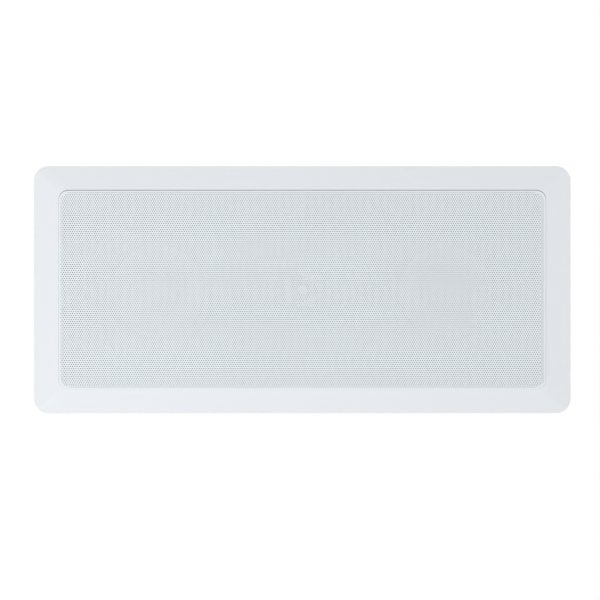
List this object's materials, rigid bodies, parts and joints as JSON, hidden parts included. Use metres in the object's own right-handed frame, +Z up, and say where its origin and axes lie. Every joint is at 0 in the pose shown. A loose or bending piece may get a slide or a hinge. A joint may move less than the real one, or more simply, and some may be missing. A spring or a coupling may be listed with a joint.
{
  "type": "in-wall speaker",
  "caption": "Wide in-wall speaker: white bevelled frame with a perforated grille over two woofers and a dome tweeter, held in a wall cut-out by swing-out clamps.",
  "frame": {"origin": "centre of the wall cut-out, in the plane of the wall's face, where the border seats", "axes": "+X along the width to the viewer's right, +Y into the wall, +Z up"},
  "size_m": [0.5, 0.0748, 0.23],
  "materials": {
    "frame_moulding": "fine-textured white ABS, slightly cool",
    "grille_paint": "white powder coat on perforated steel",
    "basket": "glass-filled black moulding",
    "surround_rubber": "matt butyl rubber",
    "cone": "satin metal-coated cone",
    "dust_cap": "satin grey dome",
    "coil_wire": "copper winding on a paper former",
    "spider_cloth": "resin-stiffened cotton",
    "zinc_plate": "zinc-plated mild steel",
    "ferrite": "ground ferrite",
    "nickel_magnet": "nickel-plated",
    "lug_metal": "tinned brass lugs on a fibre strip",
    "lead_sleeve": "PVC-covered stranded wire, one red and one black",
    "black_screw": "black-oxide steel",
    "zinc_screw": "zinc-plated steel",
    "faceplate": "satin black moulding",
    "dome_metal": "thin formed aluminium",
    "circuit_board": "green solder mask",
    "enamelled_wire": "enamelled copper wire",
    "capacitor_wrap": "amber film wrap with grey ends",
    "resistor_body": "white cement",
    "terminal_plastic": "black moulding",
    "red_plastic": "red moulding",
    "spring_steel": "bent spring strip",
    "clamp_plastic": "glass-filled nylon"
  },
  "bodies": {
    "frame": {"frame": "frame_moulding", "grille": "grille_paint", "woofer_left_basket": "basket", "woofer_left_surround": "surround_rubber", "woofer_left_spider": "spider_cloth", "woofer_left_top_plate": "zinc_plate", "woofer_left_magnet": "ferrite", "woofer_left_back_plate": "zinc_plate", "woofer_left_terminals": "lug_metal", "woofer_left_leads": "lead_sleeve", "woofer_right_basket": "basket", "woofer_right_surround": "surround_rubber", "woofer_right_spider": "spider_cloth", "woofer_right_top_plate": "zinc_plate", "woofer_right_magnet": "ferrite", "woofer_right_back_plate": "zinc_plate", "woofer_right_terminals": "lug_metal", "woofer_right_leads": "lead_sleeve", "woofer_screws": "black_screw", "tweeter_faceplate": "faceplate", "tweeter_dome": "dome_metal", "tweeter_voice_coil": "coil_wire", "tweeter_pole_plate": "zinc_plate", "tweeter_magnet": "nickel_magnet", "tweeter_cup": "zinc_plate", "tweeter_terminals": "lug_metal", "tweeter_screws": "black_screw", "crossover_board": "circuit_board", "woofer_inductor": "enamelled_wire", "tweeter_inductor": "enamelled_wire", "woofer_capacitor": "capacitor_wrap", "tweeter_capacitor": "capacitor_wrap", "resistor": "resistor_body", "board_screws": "zinc_screw", "terminal_housing": "terminal_plastic", "red_tab_spring": "spring_steel", "black_tab_spring": "spring_steel", "tweeter_leads": "lead_sleeve"},
    "woofer_left_diaphragm": {"woofer_left_cone": "cone", "woofer_left_dust_cap": "dust_cap", "woofer_left_voice_coil": "coil_wire"},
    "woofer_right_diaphragm": {"woofer_right_cone": "cone", "woofer_right_dust_cap": "dust_cap", "woofer_right_voice_coil": "coil_wire"},
    "screw_top_left": {"clamp_screw_top_left": "zinc_screw"},
    "clamp_top_left": {"clamp_top_left": "clamp_plastic"},
    "screw_top_middle": {"clamp_screw_top_middle": "zinc_screw"},
    "clamp_top_middle": {"clamp_top_middle": "clamp_plastic"},
    "screw_top_right": {"clamp_screw_top_right": "zinc_screw"},
    "clamp_top_right": {"clamp_top_right": "clamp_plastic"},
    "screw_bottom_left": {"clamp_screw_bottom_left": "zinc_screw"},
    "clamp_bottom_left": {"clamp_bottom_left": "clamp_plastic"},
    "screw_bottom_middle": {"clamp_screw_bottom_middle": "zinc_screw"},
    "clamp_bottom_middle": {"clamp_bottom_middle": "clamp_plastic"},
    "screw_bottom_right": {"clamp_screw_bottom_right": "zinc_screw"},
    "clamp_bottom_right": {"clamp_bottom_right": "clamp_plastic"},
    "red_tab": {"red_tab": "red_plastic"},
    "black_tab": {"black_tab": "terminal_plastic"}
  },
  "joints": [
    {"name": "woofer_left_excursion", "type": "slide", "parent": "frame", "child": "woofer_left_diaphragm", "axis": [0, -1, 0], "range_m": [-0.004, 0.004], "stiffness_N_per_m": 1250, "deforming": ["woofer_left_surround", "woofer_left_spider"]},
    {"name": "woofer_right_excursion", "type": "slide", "parent": "frame", "child": "woofer_right_diaphragm", "axis": [0, -1, 0], "range_m": [-0.004, 0.004], "stiffness_N_per_m": 1250, "deforming": ["woofer_right_surround", "woofer_right_spider"]},
    {"name": "clamp_top_left_swing", "type": "hinge", "parent": "frame", "child": "screw_top_left", "pos_m": [-0.198, 0.034, 0.08], "axis": [0, 1, 0], "range_deg": [0, 90]},
    {"name": "clamp_top_left_grip", "type": "slide", "parent": "screw_top_left", "child": "clamp_top_left", "axis": [0, -1, 0], "range_m": [0, 0.022]},
    {"name": "clamp_top_middle_swing", "type": "hinge", "parent": "frame", "child": "screw_top_middle", "pos_m": [0, 0.034, 0.08], "axis": [0, 1, 0], "range_deg": [0, 90]},
    {"name": "clamp_top_middle_grip", "type": "slide", "parent": "screw_top_middle", "child": "clamp_top_middle", "axis": [0, -1, 0], "range_m": [0, 0.022]},
    {"name": "clamp_top_right_swing", "type": "hinge", "parent": "frame", "child": "screw_top_right", "pos_m": [0.198, 0.034, 0.08], "axis": [0, 1, 0], "range_deg": [0, 90]},
    {"name": "clamp_top_right_grip", "type": "slide", "parent": "screw_top_right", "child": "clamp_top_right", "axis": [0, -1, 0], "range_m": [0, 0.022]},
    {"name": "clamp_bottom_left_swing", "type": "hinge", "parent": "frame", "child": "screw_bottom_left", "pos_m": [-0.198, 0.034, -0.08], "axis": [0, 1, 0], "range_deg": [0, 90]},
    {"name": "clamp_bottom_left_grip", "type": "slide", "parent": "screw_bottom_left", "child": "clamp_bottom_left", "axis": [0, -1, 0], "range_m": [0, 0.022]},
    {"name": "clamp_bottom_middle_swing", "type": "hinge", "parent": "frame", "child": "screw_bottom_middle", "pos_m": [0, 0.034, -0.08], "axis": [0, 1, 0], "range_deg": [0, 90]},
    {"name": "clamp_bottom_middle_grip", "type": "slide", "parent": "screw_bottom_middle", "child": "clamp_bottom_middle", "axis": [0, -1, 0], "range_m": [0, 0.022]},
    {"name": "clamp_bottom_right_swing", "type": "hinge", "parent": "frame", "child": "screw_bottom_right", "pos_m": [0.198, 0.034, -0.08], "axis": [0, 1, 0], "range_deg": [0, 90]},
    {"name": "clamp_bottom_right_grip", "type": "slide", "parent": "screw_bottom_right", "child": "clamp_bottom_right", "axis": [0, -1, 0], "range_m": [0, 0.022]},
    {"name": "red_tab_push", "type": "slide", "parent": "frame", "child": "red_tab", "axis": [0, -1, 0], "range_m": [0, 0.003], "stiffness_N_per_m": 1500, "springref_m": -0.001, "deforming": ["red_tab_spring"]},
    {"name": "black_tab_push", "type": "slide", "parent": "frame", "child": "black_tab", "axis": [0, -1, 0], "range_m": [0, 0.003], "stiffness_N_per_m": 1500, "springref_m": -0.001, "deforming": ["black_tab_spring"]}
  ]
}
